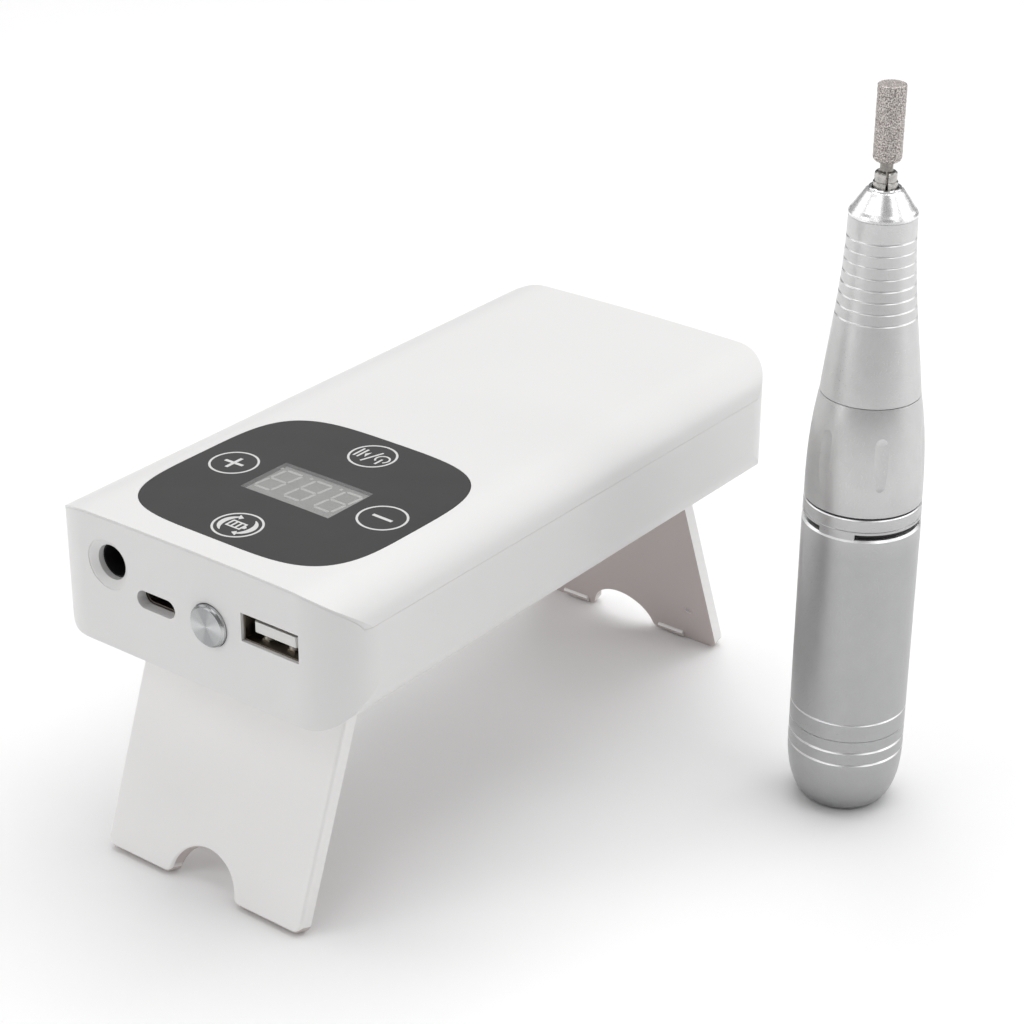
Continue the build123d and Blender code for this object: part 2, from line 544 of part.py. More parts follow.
hand["bit_shank"] = turned((0, 104.0), (SHANK_R - 0.3, 104.0), (SHANK_R, 104.4), (SHANK_R, BIT_Z - 0.02), (0, BIT_Z - 0.02))
hand["bit_head"] = turned((0, BIT_Z), (SHANK_R + 0.35, BIT_Z), (BIT_R - 0.25, BIT_Z + 0.55), (BIT_R, BIT_Z + 1.0),
                          (BIT_R, BIT_TOP - 0.25), (BIT_R - 0.25, BIT_TOP), (0, BIT_TOP))

for name, solid in hand.items():
    parts[name] = Pos(HP_X, HP_Y, 0) * solid

# ---------------------------------------------------------------- export
os.makedirs("parts", exist_ok=True)
for name, solid in parts.items():
    placed = Pos(-MID_X, -MID_Y, 0) * solid
    export_step(placed, "parts/" + name + ".step")
    print(name, len(placed.solids()), round(placed.volume, 2))
print("shift", -MID_X, -MID_Y)
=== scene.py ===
import json
import math
import random

import bmesh
import bpy
from mathutils import Matrix, Vector
from mathutils.bvhtree import BVHTree


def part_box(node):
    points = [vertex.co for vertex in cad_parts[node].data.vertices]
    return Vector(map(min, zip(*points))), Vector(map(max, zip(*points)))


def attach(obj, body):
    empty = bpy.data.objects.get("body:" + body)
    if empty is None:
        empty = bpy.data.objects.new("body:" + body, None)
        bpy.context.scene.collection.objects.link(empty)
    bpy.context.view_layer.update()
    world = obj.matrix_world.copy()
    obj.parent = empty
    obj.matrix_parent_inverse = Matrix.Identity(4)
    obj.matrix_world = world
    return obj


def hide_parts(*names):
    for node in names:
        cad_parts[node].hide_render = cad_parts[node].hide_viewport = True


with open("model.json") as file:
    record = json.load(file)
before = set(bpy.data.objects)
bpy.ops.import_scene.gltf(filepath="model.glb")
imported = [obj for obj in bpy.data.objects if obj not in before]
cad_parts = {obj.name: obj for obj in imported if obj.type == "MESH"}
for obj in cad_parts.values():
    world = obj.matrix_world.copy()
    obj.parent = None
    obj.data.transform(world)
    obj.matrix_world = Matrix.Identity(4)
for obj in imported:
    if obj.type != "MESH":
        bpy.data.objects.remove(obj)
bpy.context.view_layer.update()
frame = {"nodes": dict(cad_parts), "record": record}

MM = 0.001
nodes = frame["nodes"]
scene = bpy.context.scene
scene.view_settings.view_transform = "Standard"

shell_low, shell_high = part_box("lower_housing")
_, display_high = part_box("digit_display")
button_low, button_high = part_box("power_button")
barrel_low, barrel_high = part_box("motor_housing")
bit_low, bit_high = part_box("bit_head")

FRONT = Vector(((shell_low.x + shell_high.x) / 2, shell_low.y, 0.0))
HAND = Vector(((barrel_low.x + barrel_high.x) / 2, (barrel_low.y + barrel_high.y) / 2, 0.0))


# ---------------------------------------------------------------- camera
def aim(obj, yaw, pitch, roll):
    """Turns obj to look along yaw (left of +Y), pitch (down) and roll, in degrees."""
    yaw, pitch, roll = (math.radians(a) for a in (yaw, pitch, roll))
    ahead = math.cos(pitch)
    forward = Vector((-math.sin(yaw) * ahead, math.cos(yaw) * ahead, -math.sin(pitch)))
    level = Vector((math.cos(yaw), math.sin(yaw), 0.0))
    down = forward.cross(level)
    right = level * math.cos(roll) + down * math.sin(roll)
    up = level * math.sin(roll) - down * math.cos(roll)
    turn = Matrix((right, up, -forward)).transposed()
    obj.rotation_euler = turn.to_euler()


camera_data = bpy.data.cameras.new("camera")
camera_data.sensor_width = 36.0
camera_data.lens = 92.04
camera_data.clip_start = 0.01
camera_data.clip_end = 20.0
camera = bpy.data.objects.new("camera", camera_data)
scene.collection.objects.link(camera)
camera.location = (0.26345, -0.35180, 0.27981)
aim(camera, 37.44, 26.64, -0.34)
scene.camera = camera


# ---------------------------------------------------------------- node helpers
def shader(name):
    """New material with its node tree and its Principled shader."""
    mat = bpy.data.materials.new(name)
    mat.use_nodes = True
    tree = mat.node_tree
    return mat, tree, tree.nodes["Principled BSDF"]


def add(tree, kind, **values):
    """New node with plain properties set."""
    node = tree.nodes.new(kind)
    for key, value in values.items():
        setattr(node, key, value)
    return node


def feed(tree, socket, value):
    """Links an input to another node's output, or sets it to a plain number or colour."""
    if isinstance(value, bpy.types.NodeSocket):
        tree.links.new(value, socket)
    else:
        socket.default_value = value


def compute(tree, operation, *values):
    """Math node over sockets or plain numbers."""
    node = add(tree, "ShaderNodeMath", operation=operation)
    for socket, value in zip(node.inputs, values):
        feed(tree, socket, value)
    return node.outputs[0]


def mix(tree, data_type, factor, a, b, blend_type="MIX"):
    """Mix of two numbers or colours, each a socket or a plain value."""
    node = add(tree, "ShaderNodeMix", data_type=data_type, blend_type=blend_type)
    for key, value in (("Factor", factor), ("A", a), ("B", b)):
        feed(tree, node.inputs[key], value)
    return node.outputs["Result"]


def component(tree, vector, axis):
    """X, Y or Z of a vector socket."""
    node = add(tree, "ShaderNodeSeparateXYZ")
    tree.links.new(vector, node.inputs["Vector"])
    return node.outputs[axis]


def noise(tree, coords, size_mm, detail=2.0, rough=0.5, stretch=(1, 1, 1)):
    """Noise whose features are about size_mm across, in object space."""
    mapping = add(tree, "ShaderNodeMapping")
    mapping.inputs["Scale"].default_value = stretch
    tree.links.new(coords, mapping.inputs["Vector"])
    node = add(tree, "ShaderNodeTexNoise")
    node.inputs["Scale"].default_value = 1.0 / (size_mm * MM)
    node.inputs["Detail"].default_value = detail
    node.inputs["Roughness"].default_value = rough
    tree.links.new(mapping.outputs["Vector"], node.inputs["Vector"])
    return node.outputs["Fac"]


def spread(tree, fac, low, high, start=0.3, end=0.7):
    """Maps a factor from start..end to low..high."""
    node = add(tree, "ShaderNodeMapRange")
    node.inputs["From Min"].default_value = start
    node.inputs["From Max"].default_value = end
    node.inputs["To Min"].default_value = low
    node.inputs["To Max"].default_value = high
    tree.links.new(fac, node.inputs["Value"])
    return node.outputs["Result"]


def ramp(tree, fac, stops):
    """Colour ramp through (position, colour) stops, in rising order."""
    node = add(tree, "ShaderNodeValToRGB")
    elements = node.color_ramp.elements
    elements.remove(elements[1])
    for index, (position, color) in enumerate(stops):
        element = elements.new(position) if index else elements[0]
        element.position = position
        element.color = (*color, 1.0)
    tree.links.new(fac, node.inputs["Fac"])
    return node.outputs["Color"]


def blend_colors(tree, fac, dark, light, start=0.3, end=0.7):
    """Colour between dark and light by a factor."""
    return ramp(tree, fac, ((start, dark), (end, light)))


def bump(tree, height, depth_mm, strength=1.0):
    """Bump normal from a height factor; depth_mm is the height of factor 1."""
    node = add(tree, "ShaderNodeBump")
    node.inputs["Strength"].default_value = strength
    node.inputs["Distance"].default_value = depth_mm * MM
    tree.links.new(height, node.inputs["Height"])
    return node.outputs["Normal"]


def shade(color, amount):
    """The colour made lighter or darker."""
    return tuple(min(1.0, c * amount) for c in color)


# ---------------------------------------------------------------- materials
WHITE = (0.77, 0.764, 0.76)
LEG_OUTER = (0.92, 0.912, 0.905)
# painted shade: the greyer, warmer colour of the leg's inner face, which looks down
LEG_PAINTED_SHADE = (0.56, 0.50, 0.485)
# handpiece colour by height is painted light: painted shade low on the housing, a middle tone on the sleeve,
# painted highlight on the grip
HOUSING_PAINTED_SHADE = (0.44, 0.442, 0.445)
SLEEVE_PAINTED_MIDTONE = (0.60, 0.60, 0.598)
GRIP_PAINTED_HIGHLIGHT = (0.68, 0.68, 0.678)
POLISHED = (0.92, 0.92, 0.925)
PAINTED_LIGHT_SPAN = 0.14
PAINTED_LIGHT_STOPS = ((0.40, HOUSING_PAINTED_SHADE), (0.50, SLEEVE_PAINTED_MIDTONE), (0.80, GRIP_PAINTED_HIGHLIGHT))
BLASTED_BELOW = 11.7 * MM
# painted highlight on the button face: two opposite bright fans by angle about its centre, darker between
# them
FAN_TURN = -0.35
FAN_PAINTED_SHADE = (0.33, 0.335, 0.34)
FAN_PAINTED_HIGHLIGHT = (0.56, 0.565, 0.57)
FAN_RIPPLE = 0.35
RING_PITCH = 0.16 * MM


def grained(name, color, rough, metallic=0.0, vary=0.03, rough_vary=0.05, grain_mm=0.25,
            depth_mm=0.004, cloud_mm=9.0, stretch=(1, 1, 1)):
    """Moulded or blasted surface: cloudy tone, fine grain, uneven gloss."""
    mat, tree, bsdf = shader(name)
    coords = add(tree, "ShaderNodeTexCoord").outputs["Object"]
    cloud = noise(tree, coords, cloud_mm, 3.0)
    grain = noise(tree, coords, grain_mm, 2.0, 0.6, stretch)
    tone = blend_colors(tree, cloud, shade(color, 1 - vary), shade(color, 1 + vary))
    tree.links.new(tone, bsdf.inputs["Base Color"])
    gloss = spread(tree, grain, rough - rough_vary, rough + rough_vary)
    tree.links.new(gloss, bsdf.inputs["Roughness"])
    tree.links.new(bump(tree, grain, depth_mm), bsdf.inputs["Normal"])
    bsdf.inputs["Metallic"].default_value = metallic
    return mat


def leg_material():
    """White plastic, with painted shade on the inner face, which looks down when the leg stands: greyer and
    warmer there.
    """
    mat = grained("leg_white", LEG_OUTER, 0.42, vary=0.01, grain_mm=0.45, depth_mm=0.002, cloud_mm=22)
    tree = mat.node_tree
    bsdf = tree.nodes["Principled BSDF"]
    outer_color = bsdf.inputs["Base Color"].links[0].from_socket
    normal = add(tree, "ShaderNodeTexCoord").outputs["Normal"]
    # painted shade on the faces that look down
    inner = spread(tree, component(tree, normal, "Z"), 1.0, 0.0, -0.30, -0.20)
    tree.links.new(mix(tree, "RGBA", inner, outer_color, (*LEG_PAINTED_SHADE, 1.0)), bsdf.inputs["Base Color"])
    return mat


def pane_material():
    """Smoked window: see-through with a gloss."""
    mat, tree, bsdf = shader("window_grey")
    coords = add(tree, "ShaderNodeTexCoord").outputs["Object"]
    haze = noise(tree, coords, 2.5, 2.0)
    tint = blend_colors(tree, haze, (0.43, 0.43, 0.425), (0.47, 0.47, 0.465))
    tree.links.new(tint, bsdf.inputs["Base Color"])
    tree.links.new(spread(tree, haze, 0.10, 0.16), bsdf.inputs["Roughness"])
    bsdf.inputs["Alpha"].default_value = 0.30
    return mat


def blasted_material():
    """Bead-blasted aluminium with painted light by height: painted shade toward the cap, painted highlight
    toward the grip; its groove walls and bevels are polished.
    """
    mat, tree, bsdf = shader("body_silver")
    coords = add(tree, "ShaderNodeTexCoord")
    place = coords.outputs["Object"]
    cloud = noise(tree, place, 3.5, 3.0)
    grain = noise(tree, place, 0.20, 2.0, 0.6)
    height = component(tree, place, "Z")
    slope = compute(tree, "ABSOLUTE", component(tree, coords.outputs["Normal"], "Z"))
    tilted = spread(tree, slope, 0.0, 1.0, 0.3, 0.55)
    above = compute(tree, "GREATER_THAN", height, BLASTED_BELOW)
    polished = compute(tree, "MULTIPLY", tilted, above)
    # painted light by height: painted shade toward the cap, painted highlight toward the grip
    tone = ramp(tree, spread(tree, height, 0.0, 1.0, 0.0, PAINTED_LIGHT_SPAN), PAINTED_LIGHT_STOPS)
    patches = blend_colors(tree, cloud, (0.96, 0.96, 0.96), (1.0, 1.0, 1.0))
    painted_light_and_patches = mix(tree, "RGBA", 1.0, tone, patches, "MULTIPLY")
    tree.links.new(mix(tree, "RGBA", polished, painted_light_and_patches, (*POLISHED, 1.0)), bsdf.inputs["Base Color"])
    gloss = mix(tree, "FLOAT", polished, spread(tree, grain, 0.26, 0.42), 0.34)
    tree.links.new(gloss, bsdf.inputs["Roughness"])
    tree.links.new(bump(tree, grain, 0.0035), bsdf.inputs["Normal"])
    bsdf.inputs["Metallic"].default_value = 1.0
    return mat


def spun_material(centre):
    """Turned alloy: fine rings about the centre, and two opposite fans of painted highlight across them in
    the colour.
    """
    mat, tree, bsdf = shader("button_alloy")
    offset = add(tree, "ShaderNodeVectorMath", operation="SUBTRACT")
    offset.inputs[1].default_value = centre
    tree.links.new(add(tree, "ShaderNodeTexCoord").outputs["Object"], offset.inputs[0])
    arm = offset.outputs[0]
    # painted highlight: colour by angle about the centre, bright in two opposite fans
    angle = compute(tree, "ARCTAN2", component(tree, arm, "Z"), component(tree, arm, "X"))
    turn = compute(tree, "MULTIPLY_ADD", angle, 2.0, FAN_TURN)
    ripple = compute(tree, "COSINE", compute(tree, "MULTIPLY", turn, 3.0))
    both = compute(tree, "MULTIPLY_ADD", ripple, FAN_RIPPLE, compute(tree, "COSINE", turn))
    painted_fans = spread(tree, both, 0.0, 1.0, -1 - FAN_RIPPLE, 1 + FAN_RIPPLE)
    tree.links.new(blend_colors(tree, painted_fans, FAN_PAINTED_SHADE, FAN_PAINTED_HIGHLIGHT, 0.25, 0.95), bsdf.inputs["Base Color"])
    radius = add(tree, "ShaderNodeVectorMath", operation="LENGTH")
    tree.links.new(arm, radius.inputs[0])
    phase = compute(tree, "MULTIPLY", radius.outputs["Value"], 2 * math.pi / RING_PITCH)
    wave = compute(tree, "SINE", phase)
    tree.links.new(spread(tree, wave, 0.20, 0.30, -1.0, 1.0), bsdf.inputs["Roughness"])
    tree.links.new(bump(tree, wave, 0.002), bsdf.inputs["Normal"])
    bsdf.inputs["Metallic"].default_value = 1.0
    return mat


def ink_material(name, color, rough):
    """Screen-printed mark with slightly uneven cover."""
    mat, tree, bsdf = shader(name)
    coords = add(tree, "ShaderNodeTexCoord").outputs["Object"]
    speck = noise(tree, coords, 0.12, 3.0, 0.6)
    cover = blend_colors(tree, speck, shade(color, 0.93), shade(color, 1.03))
    tree.links.new(cover, bsdf.inputs["Base Color"])
    tree.links.new(spread(tree, speck, rough - 0.06, rough + 0.06), bsdf.inputs["Roughness"])
    tree.links.new(bump(tree, speck, 0.002), bsdf.inputs["Normal"])
    return mat


def grit_material():
    """Diamond grit bonded in nickel: bright facets, dark pits, warm specks."""
    mat, tree, bsdf = shader("bit_grit")
    coords = add(tree, "ShaderNodeTexCoord").outputs["Object"]
    cells = add(tree, "ShaderNodeTexVoronoi", feature="F1")
    cells.inputs["Scale"].default_value = 1.0 / (0.30 * MM)
    tree.links.new(coords, cells.inputs["Vector"])
    fine = noise(tree, coords, 0.24, 2.0, 0.7)
    cloud = noise(tree, coords, 1.3, 2.0)
    facets = blend_colors(tree, fine, (0.22, 0.20, 0.19), (0.86, 0.81, 0.78), 0.40, 0.60)
    warmth = blend_colors(tree, cloud, (0.86, 0.82, 0.80), (1.0, 1.0, 1.0))
    tree.links.new(mix(tree, "RGBA", 0.6, facets, warmth, "MULTIPLY"), bsdf.inputs["Base Color"])
    tree.links.new(spread(tree, cells.outputs["Distance"], 0.28, 0.55, 0.0, 0.7), bsdf.inputs["Roughness"])
    tree.links.new(bump(tree, cells.outputs["Distance"], -0.03, 0.8), bsdf.inputs["Normal"])
    bsdf.inputs["Metallic"].default_value = 0.85
    return mat


# colour, roughness, metal and the rest of grained's values for each plain slot
SURFACES = {
    "cover_white": (WHITE, 0.36, 0.0, dict(vary=0.006, grain_mm=0.5, depth_mm=0.0012, cloud_mm=30)),
    "tub_white": (shade(WHITE, 1.02), 0.40, 0.0,
                  dict(vary=0.008, grain_mm=0.5, depth_mm=0.0015, cloud_mm=26)),
    "panel_grey": ((0.0585, 0.0585, 0.058), 0.16, 0.0,
                   dict(vary=0.05, rough_vary=0.03, grain_mm=1.2, depth_mm=0.0004, cloud_mm=14)),
    "board_green": ((0.02, 0.11, 0.05), 0.45, 0.0, dict(vary=0.15, cloud_mm=3)),
    "display_grey": ((0.40, 0.40, 0.392), 0.45, 0.0, dict(grain_mm=0.3, depth_mm=0.002, cloud_mm=5)),
    "socket_black": ((0.012, 0.012, 0.012), 0.42, 0.0, dict(vary=0.15, grain_mm=0.2, cloud_mm=3)),
    "tongue_white": ((0.80, 0.80, 0.78), 0.40, 0.0, dict(vary=0.02, grain_mm=0.3, cloud_mm=4)),
    "shell_steel": ((0.24, 0.205, 0.17), 0.34, 1.0,
                    dict(vary=0.10, grain_mm=0.12, depth_mm=0.003, cloud_mm=2.5, stretch=(1, 0.15, 1))),
    "contact_steel": ((0.42, 0.39, 0.34), 0.42, 1.0, dict(vary=0.10, grain_mm=0.12, cloud_mm=1.5)),
    "plunger_black": ((0.02, 0.02, 0.02), 0.5, 0.0, dict(vary=0.15, cloud_mm=2)),
    "screw_steel": ((0.42, 0.42, 0.43), 0.35, 1.0, dict(vary=0.12, grain_mm=0.15, cloud_mm=1.2)),
    "pin_steel": ((0.60, 0.60, 0.61), 0.25, 1.0,
                  dict(vary=0.06, grain_mm=0.1, cloud_mm=2, stretch=(0.1, 1, 1))),
    "cell_wrap": ((0.05, 0.13, 0.30), 0.30, 0.0, dict(vary=0.08, cloud_mm=12)),
    "cradle_black": ((0.02, 0.02, 0.02), 0.5, 0.0, dict(vary=0.2, cloud_mm=5)),
    "tab_nickel": ((0.62, 0.60, 0.55), 0.30, 1.0, dict(vary=0.08, cloud_mm=2)),
    "liner_black": ((0.01, 0.01, 0.01), 0.55, 0.0, dict(vary=0.2, cloud_mm=2)),
    "nose_steel": ((0.95, 0.95, 0.952), 0.26, 0.80,
                   dict(vary=0.015, rough_vary=0.03, grain_mm=0.30, depth_mm=0.0045, cloud_mm=2)),
    "ring_steel": ((0.78, 0.78, 0.785), 0.10, 1.0,
                   dict(vary=0.02, rough_vary=0.03, grain_mm=0.2, depth_mm=0.001, cloud_mm=2)),
    "tool_steel": ((0.50, 0.485, 0.465), 0.26, 1.0,
                   dict(vary=0.14, rough_vary=0.08, grain_mm=0.14, depth_mm=0.006, cloud_mm=0.9)),
    "spring_steel": ((0.46, 0.46, 0.47), 0.28, 1.0, dict(vary=0.08, cloud_mm=1)),
    "seal_black": ((0.015, 0.015, 0.015), 0.6, 0.0, dict(vary=0.15, cloud_mm=1)),
    "magnet_grey": ((0.10, 0.10, 0.105), 0.5, 1.0, dict(vary=0.15, cloud_mm=1.5)),
    "rotor_copper": ((0.60, 0.30, 0.16), 0.32, 1.0,
                     dict(vary=0.12, grain_mm=0.3, depth_mm=0.02, cloud_mm=2, stretch=(1, 1, 0.1))),
    "bit_steel": ((0.30, 0.285, 0.268), 0.30, 1.0,
                  dict(vary=0.22, rough_vary=0.08, grain_mm=0.2, depth_mm=0.008, cloud_mm=0.5)),
}
mats = {}
for name, (color, rough, metallic, rest) in SURFACES.items():
    mats[name] = grained(name, color, rough, metallic, **rest)
mats["leg_white"] = leg_material()
mats["body_silver"] = blasted_material()
mats["window_grey"] = pane_material()
mats["bit_grit"] = grit_material()
mats["button_alloy"] = spun_material((button_low + button_high) / 2)
icon_ink = ink_material("icon_ink", (0.66, 0.66, 0.655), 0.45)
segment_ink = ink_material("segment_pale", (0.88, 0.88, 0.86), 0.35)

slot_of = {entry["node"]: entry["material_slot"] for entry in frame["record"]["subparts"]}
for name, obj in nodes.items():
    obj.data.materials.clear()
    obj.data.materials.append(mats[slot_of[name]])


# ---------------------------------------------------------------- mesh helpers
SHARP_ANGLE = 35
RAY_START = 0.2


def piece(name, mesh, body, material, smooth=True):
    """Links a finished mesh as a piece that rides on a CAD body."""
    obj = bpy.data.objects.new(name, mesh)
    scene.collection.objects.link(obj)
    mesh.materials.append(material)
    mesh.polygons.foreach_set("use_smooth", [smooth] * len(mesh.polygons))
    if smooth:
        mesh.set_sharp_from_angle(angle=math.radians(SHARP_ANGLE))
    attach(obj, body)
    return obj


def from_bmesh(name, bm):
    """Cleans a bmesh into a mesh with outward normals."""
    bmesh.ops.remove_doubles(bm, verts=bm.verts, dist=1e-7)
    bmesh.ops.recalc_face_normals(bm, faces=bm.faces)
    mesh = bpy.data.meshes.new(name)
    bm.to_mesh(mesh)
    bm.free()
    return mesh


def surface_under(node):
    """Function giving the height of a CAD node's top surface at x, y in the row frame."""
    data = nodes[node].data
    tree = BVHTree.FromPolygons([v.co for v in data.vertices], [p.vertices for p in data.polygons])

    def height(x, y):
        hit = tree.ray_cast(Vector((x, y, RAY_START)), Vector((0, 0, -1)))
        return hit[0].z

    return height


def slab(bm, loop, height, top, bottom):
    """Adds one closed outline as a thin slab that follows height(x, y); top and bottom are offsets."""
    upper = [bm.verts.new((x, y, height(x, y) + top)) for x, y in loop]
    lower = [bm.verts.new((x, y, height(x, y) + bottom)) for x, y in loop]
    bm.faces.new(upper)
    bm.faces.new(list(reversed(lower)))
    count = len(loop)
    for i in range(count):
        j = (i + 1) % count
        bm.faces.new((upper[i], lower[i], lower[j], upper[j]))


def band(bm, outer, inner, height, top, bottom):
    """Adds a closed ring between two outlines with the same number of points."""
    rows = []
    for loop, lift in ((outer, bottom), (outer, top), (inner, top), (inner, bottom)):
        rows.append([bm.verts.new((x, y, height(x, y) + lift)) for x, y in loop])
    count = len(outer)
    for k in range(4):
        a = rows[k]
        b = rows[(k + 1) % 4]
        for i in range(count):
            j = (i + 1) % count
            bm.faces.new((a[i], a[j], b[j], b[i]))


def circle(cx, cy, r, count=96):
    """Points of a circle, in mm."""
    turns = [2 * math.pi * i / count for i in range(count)]
    return [(cx + r * math.cos(a), cy + r * math.sin(a)) for a in turns]


def bar(x0, y0, x1, y1, width):
    """Corners of a straight stroke from one point to another, in mm."""
    along = Vector((x1 - x0, y1 - y0)).normalized()
    side = Vector((-along.y, along.x)) * width / 2
    start = [(x0 + side.x, y0 + side.y), (x0 - side.x, y0 - side.y)]
    end = [(x1 - side.x, y1 - side.y), (x1 + side.x, y1 + side.y)]
    return start + end


def arc(cx, cy, r, start, end, count=40):
    """Points of an arc in degrees, in mm."""
    points = []
    for i in range(count + 1):
        a = math.radians(start + (end - start) * i / count)
        points.append((cx + r * math.cos(a), cy + r * math.sin(a)))
    return points


def placed(points, cx, cy):
    """Moves points, in mm about a mark's centre, to the row frame in metres."""
    return [(FRONT.x + (cx + x) * MM, FRONT.y + (cy + y) * MM) for x, y in points]


# ---------------------------------------------------------------- touch icons
# sizes of the marks are in mm; their centres are measured from the middle of the front wall
ICON_RADIUS = 4.54
ICON_CENTRES = {
    "icon_plus": (-16.6, 30.5),
    "icon_minus": (19.4, 30.15),
    "icon_run": (1.85, 48.2),
    "icon_direction": (1.42, 12.1),
}
LINE = 0.44
STROKE = 0.72
ARM = 2.2
POWER_X = 2.35
POWER_OUTER = 1.56
POWER_INNER = 1.18
POWER_FROM = -52
POWER_TO = 232
POWER_FOOT = -2.3
SWEEP_FROM = 243
SWEEP_TURN = 115
SWEEP_R = 3.42
SWEEP_DRAW_IN = 0.34
SWEEP_HALF = 0.56
SWEEP_STEPS = 36
CELL_LINE = 0.4
CELL_BAR = 0.42
CELL_BARS = 4
CELL_PITCH = 1.017
CELL_FIRST = -1.8
CELL_HALF = 0.82
CELL_EDGE = 1.02
CELL_LEFT = -2.0
CELL_RIGHT = 1.45
INK_TOP = 0.012 * MM
INK_BOTTOM = -0.03 * MM
panel_height = surface_under("touch_panel")


def icon(name, strokes):
    """Ring with its strokes, printed on the touch panel."""
    cx, cy = ICON_CENTRES[name]
    bm = bmesh.new()
    outer = placed(circle(0, 0, ICON_RADIUS + LINE / 2), cx, cy)
    inner = placed(circle(0, 0, ICON_RADIUS - LINE / 2), cx, cy)
    band(bm, outer, inner, panel_height, INK_TOP, INK_BOTTOM)
    for stroke in strokes:
        slab(bm, placed(stroke, cx, cy), panel_height, INK_TOP, INK_BOTTOM)
    return piece(name, from_bmesh(name, bm), "control_box", icon_ink, smooth=False)


def plus_strokes():
    """Cross bar with an arm above and an arm below."""
    level = bar(-ARM, 0, ARM, 0, STROKE)
    upper = bar(0, STROKE / 2, 0, ARM, STROKE)
    lower = bar(0, -ARM, 0, -STROKE / 2, STROKE)
    return [level, upper, lower]


def run_strokes():
    """Pause bars and a play triangle, a slash, then a power sign turned over."""
    outer = arc(POWER_X, 0.0, POWER_OUTER, POWER_FROM, POWER_TO)
    inner = arc(POWER_X, 0.0, POWER_INNER, POWER_FROM, POWER_TO)
    return [
        bar(-3.28, -1.75, -3.28, 1.7, LINE),
        bar(-2.38, -1.78, -2.38, 1.72, LINE),
        [(-1.86, 0.0), (-1.1, -1.08), (-1.1, 1.12)],
        bar(-0.76, -2.72, 0.78, 2.2, LINE),
        outer + list(reversed(inner)),
        bar(POWER_X, POWER_FOOT, POWER_X, 0.0, LINE),
    ]


def sweep_arrow():
    """Half of the direction mark: a crescent that swells to an arrow head, in icon coordinates."""
    outer = []
    inner = []
    for i in range(SWEEP_STEPS + 1):
        t = i / SWEEP_STEPS
        a = math.radians(SWEEP_FROM - t * SWEEP_TURN)
        middle = SWEEP_R - SWEEP_DRAW_IN * math.sin(math.pi * min(1.0, t * 1.1) * 0.5)
        half = SWEEP_HALF * math.sin(math.pi * (0.06 + t * 0.81))
        outer.append(((middle + half) * math.cos(a), (middle + half) * math.sin(a)))
        inner.append(((middle - half) * math.cos(a), (middle - half) * math.sin(a)))
    head = [(-2.19, 3.25), (-0.85, 2.6), (-1.45, 1.75)]
    return outer + head + list(reversed(inner))


def direction_strokes():
    """Two sweeping arrows round a battery with four bars."""
    arrow = sweep_arrow()
    opposite = [(-x, -y) for x, y in arrow]
    strokes = [arrow, opposite]
    for y in (CELL_EDGE, -CELL_EDGE):
        strokes.append(bar(CELL_LEFT, y, CELL_RIGHT, y, CELL_LINE))
    for i in range(CELL_BARS):
        x = CELL_FIRST + i * CELL_PITCH
        strokes.append(bar(x, -CELL_HALF, x, CELL_HALF, CELL_BAR))
    strokes.append([(1.46, 0.6), (1.46, -0.55), (1.98, -0.42), (2.05, 0.12)])
    return strokes


icon("icon_plus", plus_strokes())
icon("icon_minus", [bar(-ARM, 0, ARM, 0, STROKE)])
icon("icon_run", run_strokes())
icon("icon_direction", direction_strokes())


# ---------------------------------------------------------------- display digits
DIGIT_X = 1.21
DIGIT_Y = 30.9
DIGIT_PITCH = 7.18
HALF_W = 2.0
HALF_H = 4.03
SLANT = 0.11
SEG = 0.58
SEG_GAP = 0.18
POINT_PLACE = (-2.85, 4.1)
POINT_R = 0.34
SEG_TOP = 0.03 * MM
SEG_BOTTOM = -0.02 * MM


def segment(x0, y0, x1, y1):
    """Six-sided bar of a digit, slanted."""
    along = Vector((x1 - x0, y1 - y0)).normalized()
    side = Vector((-along.y, along.x)) * SEG / 2
    tip = along * SEG / 2
    gap = along * SEG_GAP
    a = Vector((x0, y0)) + gap
    b = Vector((x1, y1)) - gap
    points = [a, a + tip + side, b - tip + side, b, b - tip - side, a + tip - side]
    return [(p.x + SLANT * p.y, p.y) for p in reversed(points)]


def digit_outlines():
    """Seven bars and the point of one digit, about the digit's centre."""
    outlines = []
    for y in (HALF_H, 0, -HALF_H):
        outlines.append(segment(-HALF_W, y, HALF_W, y))
    for y in (0, -HALF_H):
        for x in (-HALF_W, HALF_W):
            outlines.append(segment(x, y, x, y + HALF_H))
    outlines.append(circle(*POINT_PLACE, POINT_R, 24))
    return outlines


def display_top(x, y):
    """Height of the digit module's flat top."""
    return display_high.z


def display_segments():
    """All three digits as thin plates on the digit module."""
    bm = bmesh.new()
    for k in (-1, 0, 1):
        for outline in digit_outlines():
            loop = placed(outline, DIGIT_X + k * DIGIT_PITCH, DIGIT_Y)
            slab(bm, loop, display_top, SEG_TOP, SEG_BOTTOM)
    mesh = from_bmesh("display_segments", bm)
    return piece("display_segments", mesh, "control_box", segment_ink, smooth=False)


display_segments()


